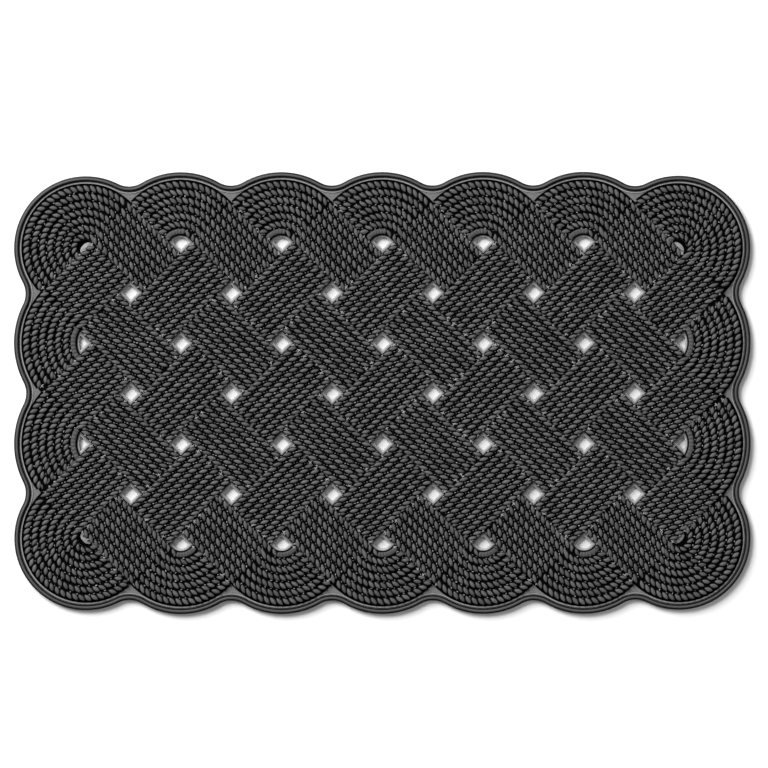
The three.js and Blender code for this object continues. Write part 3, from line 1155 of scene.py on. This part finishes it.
    def add_flecks(self, maker: MeshMaker, along: np.ndarray, left: float, slant: np.ndarray,
                   share: np.ndarray, chance: np.random.Generator) -> None:
        """Adds the pale points in the slit between two ropes: pairs on the straight, at most one in a turn.
        Their paleness is painted light, standing in for lit floor between the strands.

        Args:
            maker: The mesh to add them to.
            along: Where they lie along the band.
            left: Where they lie to the left of the middle line.
            slant: Their slants.
            share: The share of the turn behind each.
            chance: The seeded source of small differences.
        """
        template, faces = Strand(sides=8, fullness=1.9, rings=((1.0, 0.0), (0.8, 0.92))).template()
        turning = share > 0
        for side in (-1, 1):
            kept = ~turning if side > 0 else ~turning | (chance.random(len(turning)) < 0.7)
            count = int(kept.sum())
            if not count:
                continue
            lone, lean = turning[kept], slant[kept]
            length = np.where(lone, 2.3 * MM, 2.5 * MM) * chance.uniform(0.6, 1.25, count)
            width = np.where(lone, 1.15 * MM, 1.05 * MM) * chance.uniform(0.75, 1.2, count)
            step = np.where(lone, chance.normal(0, 0.7 * MM, count), 1.5 * MM) * side
            angle = np.where(lone, chance.normal(0, 0.55, count), lean + chance.normal(0, 0.1, count))
            shells = self.shells(
                along[kept] + step * np.cos(lean), left + step * np.sin(lean), angle, length, width,
                self.valley - self.fleck_foot, self.fleck_top, template)
            tones = np.clip(chance.beta(0.8, 1.6, count) + 0.15 * lone, 0, 1)
            maker.add_copies(shells, faces, 2, tones)

    def add_stubs(self, maker: MeshMaker, lay: StrandLay, chance: np.random.Generator) -> None:
        """Adds the cut ends of strands that show along the edges of the pass, where it meets its neighbours.

        Args:
            maker: The mesh to add them to.
            lay: How the strands lie.
            chance: The seeded source of small differences.
        """
        route, half = self.piece.route, self.band.half
        slants = [float(lay.at(np.array([share]))[0][0]) for share in (0.0, 1.0)]
        places = []
        for rope in range(-1, self.band.ropes):
            between = (self.band.offset(rope) + self.band.rope_pitch / 2) * self.spread
            for slant, along, side in ((slants[0], 1.4 * MM, -1), (slants[1], route.length - 1.4 * MM, 1)):
                left = between + side * 4.6 * MM * math.sin(slant)
                if abs(left) < half - 0.6 * MM:
                    places.append((along, left, slant, 5.8 * MM, 3.5 * MM, abs(left) / half))
        straight = min(2 * self.knot.reach, route.run_in + 4 * MM)
        for along in np.arange(self.knot.reach - 6 * lay.ALONG, straight, lay.ALONG):
            for side in (-1, 1):
                shift = -side * 2.2 * MM if slants[0] < 0 else side * 2.2 * MM
                if 2 * MM < along + shift < straight - 2 * MM:
                    places.append((along + shift, side * (half - 1.0 * MM), slants[0], 4.4 * MM, 2.3 * MM,
                                   abs(along / self.knot.reach - 1)))
        template, faces = Strand(sides=8, fullness=2.0, rings=((1.0, 0.0), (0.9, 0.8))).template()
        for along, left, slant, length, width, outward in places:
            if chance.random() < 0.04:
                continue
            forks = (-0.75, 0.65) if chance.random() < 0.25 + 0.55 * outward ** 2 else (0.0,)
            for fork in forks:
                web = len(forks) > 1
                where = (along + chance.normal(0, 0.25) * MM, left + chance.normal(0, 0.2) * MM,
                         slant + fork + chance.normal(0, 0.2), length * chance.uniform(0.8, 1.1),
                         width * chance.uniform(0.75, 1.1) * (0.42 if web else 1.0))
                top = self.fleck_top if web else self.crest - 0.15 * MM
                shell = self.shells(*(np.array([value]) for value in where),
                                    self.valley - self.strand_foot, top, template)
                maker.add_copies(shell, faces, 2 if web else 0, chance.uniform(0.6 * web, 1, 1))

    def strip_start(self) -> float:
        """Where the strands of a lobe's innermost rope give way to the strip, along the band."""
        route = self.piece.route
        share = 0.27 if self.piece.turn is Turn.LONG_SIDE else 0.12
        return route.run_in + route.turn_length * share

    def add_strip(self, maker: MeshMaker, lay: StrandLay) -> None:
        """Adds the ribbed strip that takes the place of the innermost rope's strands in a lobe.

        Args:
            maker: The mesh to add it to.
            lay: How the strands lie.
        """
        route, inner = self.piece.route, self.band.ropes - 1
        last = self.strand_places(lay, inner)[-1]
        stretch = route.stretch(self.strip_start(), self.band.offset(inner) * self.spread)
        stations = np.linspace(last + self.strip_gap * stretch, route.length - 0.8 * MM, 70)
        foot, top = self.valley - self.fleck_foot, self.fleck_top + 0.2 * MM
        side = [(2.6 * MM, foot), (2.6 * MM, top - 0.9 * MM), (2.1 * MM, top - 0.2 * MM), (1.3 * MM, top)]
        section = [(-out, z) for out, z in side] + [(0.0, top + 0.1 * MM)] + side[::-1]
        out, height = np.array(section).T
        taper = np.minimum(stations - stations[0], stations[-1] - stations) / (2.2 * MM)
        width = 0.55 + 0.45 * np.sqrt(1 - (1 - np.clip(taper, 0.0, 1.0)) ** 2)
        ribs = self.rib_depth * (1 - np.cos(stations * 2 * math.pi / self.rib_pitch))
        left = self.band.offset(inner) - 0.3 * MM + out[None, :] * width[:, None]
        self.add_tube(maker, stations, left, height[None, :] - ribs[:, None], 3)

    def build(self, finishes: Finishes, seed: int) -> bpy.types.Object:
        """Builds the pass and puts it in the place of its solid part.

        Args:
            finishes: The mat's materials.
            seed: Seed of its small differences.

        Returns:
            The object.
        """
        maker, chance = MeshMaker(), np.random.default_rng(seed)
        lay = StrandLay(self.piece)
        self.add_body(maker)
        if self.piece.turn is not Turn.NONE:
            self.add_shade_skirt(maker)
        self.add_strands(maker, lay, chance)
        self.add_stubs(maker, lay, chance)
        if self.has_strip:
            self.add_strip(maker, lay)
        made = maker.build(f"ropes_{self.piece.name}",
                           [finishes.strand, finishes.groove, finishes.fleck, finishes.strip])
        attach(made, "root")
        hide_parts(self.piece.name)
        return made


@dataclass
class Rim:
    """The raised bead round the edge."""

    edge: Edge
    levels: Levels
    width: float = 5.2 * MM
    flange: float = 1.8 * MM
    foot: float = 4.6 * MM
    crown: float = 1.1 * MM

    def section(self) -> list[tuple[float, float]]:
        """The bead's outline, as distances in from the edge and heights above the floor."""
        low, top = self.levels.sheet, self.levels.rim
        middle = (self.flange + self.foot) / 2 - 0.2 * MM
        half = (self.foot - self.flange) / 2 - 0.2 * MM
        points = [(0.1 * MM, low), (0.0, low + 0.4 * MM), (0.2 * MM, top - 2.4 * MM),
                  (self.flange, top - 1.9 * MM)]
        for angle in np.linspace(math.pi, 0, 11):
            points.append((middle + half * math.cos(angle), top - self.crown * (1 - math.sin(angle))))
        points += [(self.foot - 0.1 * MM, top - 2.0 * MM), (self.width, low + 0.2 * MM), (self.width, low)]
        return points

    def build(self, finishes: Finishes) -> bpy.types.Object:
        """Sweeps the bead round the outline and puts it in the place of its solid part."""
        points, inward = self.edge.stations()
        section = self.section()
        maker = MeshMaker()
        maker.add(sweep(points, inward, section), ring_faces(len(points), len(section)), 0)
        made = maker.build("rim_bead", [finishes.rim], sharp=50.0)
        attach(made, "root")
        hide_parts("border_rim")
        return made


@dataclass
class BaseSheet:
    """The thin sheet under the ropes, with its drain holes and grip studs."""

    knot: Knot
    edge: Edge
    levels: Levels
    hole_side: float = 11.4 * MM
    hole_corner: float = 1.8 * MM
    hole_to_turn: float = 1.8 * MM
    round_over: float = 0.35 * MM
    stud_radius: float = 6.4 * MM
    collar_rise: float = 1.7 * MM
    lip_inset: float = 6.1 * MM
    lip_width: float = 1.7 * MM
    lip_rise: float = 0.7 * MM

    def holes(self) -> list[np.ndarray]:
        """The outlines of the drain holes, as rows of x and y."""
        lobes = {(round(p.lobe.anchor[0] / self.knot.half), round(p.lobe.anchor[1] / self.knot.half)): p.lobe
                 for p in self.knot.passes() if p.lobe}
        found = []
        for row in range(-self.knot.last_row, self.knot.last_row + 1):
            for column in range(-self.knot.last_column, self.knot.last_column + 1):
                lobe = lobes.get((column, row))
                if (column - row) % 2 == 0 or (lobe and lobe.turn is Turn.CORNER):
                    continue
                found.append(self.hole((column * self.knot.half, row * self.knot.half), lobe))
        return found

    def hole(self, at: tuple[float, float], lobe: Lobe | None) -> np.ndarray:
        """One drain hole: a diamond with rounded corners, cut short by the strip of a lobe.

        Args:
            at: Its middle.
            lobe: The lobe that it lies in, if any.

        Returns:
            Its outline, as rows of x and y.
        """
        radius, flat = self.hole_corner, self.hole_side / 2 - self.hole_corner
        out = flat * math.sqrt(2)
        points = []
        for corner in range(4):
            base = corner * math.pi / 2
            x, y = out * math.cos(base), out * math.sin(base)
            for angle in np.linspace(base - math.pi / 4, base + math.pi / 4, 5):
                points.append((x + radius * math.cos(angle), y + radius * math.sin(angle)))
            x2, y2 = out * math.cos(base + math.pi / 2), out * math.sin(base + math.pi / 2)
            side = np.array([math.cos(base + math.pi / 4), math.sin(base + math.pi / 4)]) * radius
            for t in np.linspace(0, 1, 8)[1:-1]:
                points.append((x + (x2 - x) * t + side[0], y + (y2 - y) * t + side[1]))
        outline = np.array(points) + np.array(at)
        if lobe:
            reach = lobe.radius - self.knot.band.half - self.hole_to_turn
            away = outline - np.array(lobe.centre)
            distance = np.linalg.norm(away, axis=1, keepdims=True)
            outline = np.array(lobe.centre) + away * np.minimum(1.0, reach / distance)
        return outline

    def plate(self) -> bpy.types.Mesh:
        """The pierced plate with softly rounded edges."""
        curve = bpy.data.curves.new("sheet_outline", "CURVE")
        curve.dimensions = "2D"
        curve.fill_mode = "BOTH"
        curve.extrude = (self.levels.sheet - self.levels.stud) / 2 - self.round_over
        curve.bevel_depth = self.round_over
        curve.bevel_resolution = 1
        curve.offset = -self.round_over
        for outline in [self.edge.stations()[0], *self.holes()]:
            spline = curve.splines.new("POLY")
            spline.points.add(len(outline) - 1)
            for point, (x, y) in zip(spline.points, outline, strict=True):
                point.co = (x, y, 0.0, 1.0)
            spline.use_cyclic_u = True
        holder = bpy.data.objects.new("sheet_outline", curve)
        bpy.context.scene.collection.objects.link(holder)
        bpy.context.view_layer.update()
        mesh = bpy.data.meshes.new_from_object(holder.evaluated_get(bpy.context.evaluated_depsgraph_get()))
        bpy.data.objects.remove(holder)
        return mesh

    def add_collars(self, maker: MeshMaker) -> None:
        """Adds the slope that leads from the sides of the ropes down to each drain hole."""
        corner = (self.knot.step - 2 * self.knot.band.half) / math.sqrt(2) - 0.2 * MM
        top, low = self.levels.sheet + self.collar_rise, self.levels.sheet + 0.05 * MM
        for hole in self.holes():
            middle = self.nearest_point(hole)
            away = hole - middle
            angle = np.arctan2(away[:, 1], away[:, 0])
            reach = corner / (np.abs(np.cos(angle)) + np.abs(np.sin(angle)))
            edge = middle + np.stack([np.cos(angle), np.sin(angle)], axis=1) * reach[:, None]
            count = len(hole)
            near = middle + away * 1.035
            rings = [(near, low - 0.3 * MM), (near, low), (middle + away * 1.07, low + 0.25 * MM),
                     (edge, top), (edge, low - 0.3 * MM)]
            layers = [np.column_stack([ring, np.full(count, z)]) for ring, z in rings]
            # The collar finish paints it pale by the hole and darker by the ropes: painted light and shade.
            maker.add(np.concatenate(layers), ring_faces(len(rings), count), 3)

    def add_pads(self, maker: MeshMaker) -> None:
        """Adds the round floor that closes the middle of each corner lobe, near black as painted shade, and
        the pale wedge on it, as painted light.
        """
        sides = 40
        circle = np.linspace(0, 2 * math.pi, sides, endpoint=False)
        for lobe in (p.lobe for p in self.knot.passes() if p.turn is Turn.CORNER):
            radius = lobe.radius - self.knot.band.half - 0.2 * MM
            chord = np.array([math.cos(lobe.start_angle), math.sin(lobe.start_angle)])
            aside = np.array([-chord[1], chord[0]])
            for long, short, rise, slot in ((radius, radius, self.collar_rise - 0.6 * MM, 2),
                                            (7.0 * MM, 4.2 * MM, self.collar_rise, 1)):
                layers = []
                for trim, drop in ((0.0, rise + 0.2 * MM), (0.0, 0.4 * MM), (0.5 * MM, 0.0)):
                    around = np.outer(np.cos(circle) * (long - trim), chord)
                    around += np.outer(np.sin(circle) * (short - trim), aside)
                    layers.append(np.column_stack([
                        around + np.array(lobe.centre), np.full(sides, self.levels.sheet + rise - drop)]))
                maker.add(np.concatenate(layers), tube_faces(len(layers), sides, flip=True), slot)

    def nearest_point(self, hole: np.ndarray) -> np.ndarray:
        """The grid point that a drain hole lies on."""
        return np.round(hole.mean(axis=0) / self.knot.half) * self.knot.half

    def add_lip(self, maker: MeshMaker) -> None:
        """Adds the fine raised line that follows the rim on its inner side, painted pale on top as a
        highlight and dark at its foot as shade.
        """
        points, inward = self.edge.stations()
        start, end = self.lip_inset, self.lip_inset + self.lip_width
        base = self.levels.sheet
        lip = [(start - 1.2 * MM, base - 0.2 * MM), (start - 1.2 * MM, base + 0.1 * MM),
               (start, base + 0.15 * MM), (start + 0.3 * MM, base + self.lip_rise - 0.1 * MM),
               (end - 0.3 * MM, base + self.lip_rise), (end, base + 0.15 * MM),
               (end + 0.2 * MM, base - 0.2 * MM)]
        maker.add(sweep(points, inward, lip), ring_faces(len(points), len(lip)), 1)

    def stud_middles(self) -> list[tuple[float, float]]:
        """Where the grip studs stand: under each crossing, and under the outside of each lobe."""
        found = []
        for column in range(-self.knot.last_column, self.knot.last_column + 1):
            for row in range(-self.knot.last_row, self.knot.last_row + 1):
                if (column - row) % 2 == 0:
                    found.append((column * self.knot.half, row * self.knot.half))
        for lobe in (p.lobe for p in self.knot.passes() if p.lobe):
            angle = lobe.start_angle + lobe.sweep / 2
            found.append((lobe.centre[0] + lobe.radius * math.cos(angle),
                          lobe.centre[1] + lobe.radius * math.sin(angle)))
        return found

    def add_studs(self, maker: MeshMaker) -> None:
        """Adds the grip studs: low round feet with a shallow cup in each."""
        sides = 28
        high = self.levels.stud + 0.6 * MM
        rings = [(self.stud_radius + 0.6 * MM, high), (self.stud_radius + 0.45 * MM, self.levels.stud),
                 (self.stud_radius, 0.35 * MM), (self.stud_radius - 0.4 * MM, 0.0),
                 (self.stud_radius * 0.6, 0.0), (self.stud_radius * 0.45, 0.5 * MM)]
        angles = np.linspace(0, 2 * math.pi, sides, endpoint=False)
        circle = np.stack([np.cos(angles), np.sin(angles)], axis=1)
        for x, y in self.stud_middles():
            layers = [np.column_stack([circle * radius + np.array([x, y]), np.full(sides, z)])
                      for radius, z in rings]
            maker.add(np.concatenate(layers), tube_faces(len(rings), sides), 0)

    def build(self, finishes: Finishes) -> bpy.types.Object:
        """Builds the sheet and puts it in the place of its solid part."""
        plate = self.plate()
        middle = (self.levels.sheet + self.levels.stud) / 2
        vertices = np.array([(v.co.x, v.co.y, v.co.z + middle) for v in plate.vertices])
        maker = MeshMaker()
        maker.add(vertices, [tuple(p.vertices) for p in plate.polygons], 0)
        self.add_studs(maker)
        self.add_collars(maker)
        self.add_pads(maker)
        self.add_lip(maker)
        made = maker.build("drain_sheet", [finishes.sheet, finishes.lip, finishes.groove, finishes.collar],
                           sharp=40.0)
        bpy.data.meshes.remove(plate)
        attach(made, "root")
        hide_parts("base_sheet")
        return made


@dataclass
class Studio:
    """A pale floor, soft lights, and a camera high above the mat."""

    frame_width: float = 795.0 * MM
    height: float = 6.0
    aim: tuple[float, float] = (1.8 * MM, 9.3 * MM)
    roll: float = math.radians(-0.05)

    def build(self) -> None:
        """Sets up the floor, the lights and the camera."""
        self.add_floor()
        self.add_sky()
        self.add_area("key", (-3.25, 3.4, 3.75), 4.1, 715.0)
        self.add_area("fill", (1.7, -0.4, 1.5), 1.2, 6.0)
        self.add_camera()
        bpy.context.scene.view_settings.view_transform = "Standard"

    @staticmethod
    def add_floor() -> None:
        """Lays the floor."""
        mesh = bpy.data.meshes.new("floor")
        mesh.from_pydata([(-8, -8, 0), (8, -8, 0), (8, 8, 0), (-8, 8, 0)], [], [(0, 1, 2, 3)])
        floor = bpy.data.objects.new("floor", mesh)
        bpy.context.scene.collection.objects.link(floor)
        paint = bpy.data.materials.new("floor_paint")
        paint.use_nodes = True
        shader = paint.node_tree.nodes["Principled BSDF"]
        shader.inputs["Base Color"].default_value = (0.93, 0.93, 0.93, 1)
        shader.inputs["Roughness"].default_value = 0.9
        shader.inputs["Specular IOR Level"].default_value = 0.2
        mesh.materials.append(paint)

    @staticmethod
    def add_sky() -> None:
        """Surrounds everything with soft white light."""
        world = bpy.data.worlds.new("studio")
        world.use_nodes = True
        ground = world.node_tree.nodes["Background"]
        ground.inputs["Color"].default_value = (1, 1, 1, 1)
        ground.inputs["Strength"].default_value = 0.2
        bpy.context.scene.world = world

    @staticmethod
    def add_area(name: str, at: tuple[float, float, float], size: float, power: float) -> None:
        """Hangs a square light that faces the mat.

        Args:
            name: Its name.
            at: Its place.
            size: Its side.
            power: Its power in watts.
        """
        light = bpy.data.lights.new(name, "AREA")
        light.size = size
        light.energy = power
        holder = bpy.data.objects.new(name, light)
        holder.location = at
        holder.rotation_mode = "QUATERNION"
        holder.rotation_quaternion = (-Vector(at)).to_track_quat("-Z", "Y")
        bpy.context.scene.collection.objects.link(holder)

    def add_camera(self) -> None:
        """Hangs the camera straight above the mat, with a long lens."""
        lens = bpy.data.cameras.new("camera")
        lens.sensor_width = 36.0
        lens.lens = 36.0 * self.height / self.frame_width
        lens.clip_end = 50.0
        holder = bpy.data.objects.new("camera", lens)
        holder.location = (self.aim[0], self.aim[1], self.height)
        holder.rotation_euler = (0.0, 0.0, self.roll)
        bpy.context.scene.collection.objects.link(holder)
        bpy.context.scene.camera = holder


def main() -> None:
    """Builds the mat and the studio."""
    logging.basicConfig(level=logging.INFO, format="%(message)s")
    levels = Levels()
    knot = Knot(Band())
    low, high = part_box("border_rim")
    edge = Edge(knot, high.x - low.x, high.y - low.y)
    finishes = Finishes(levels)
    made = [BaseSheet(knot, edge, levels).build(finishes), Rim(edge, levels).build(finishes)]
    for seed, piece in enumerate(knot.passes()):
        made.append(RopePass(piece, knot, levels).build(finishes, seed))
    for obj in made:
        LOG.info("%s: %d faces", obj.name, len(obj.data.polygons))
    LOG.info("%d pieces, %d faces", len(made), sum(len(o.data.polygons) for o in made))
    Studio().build()


if __name__ == "__main__":
    main()
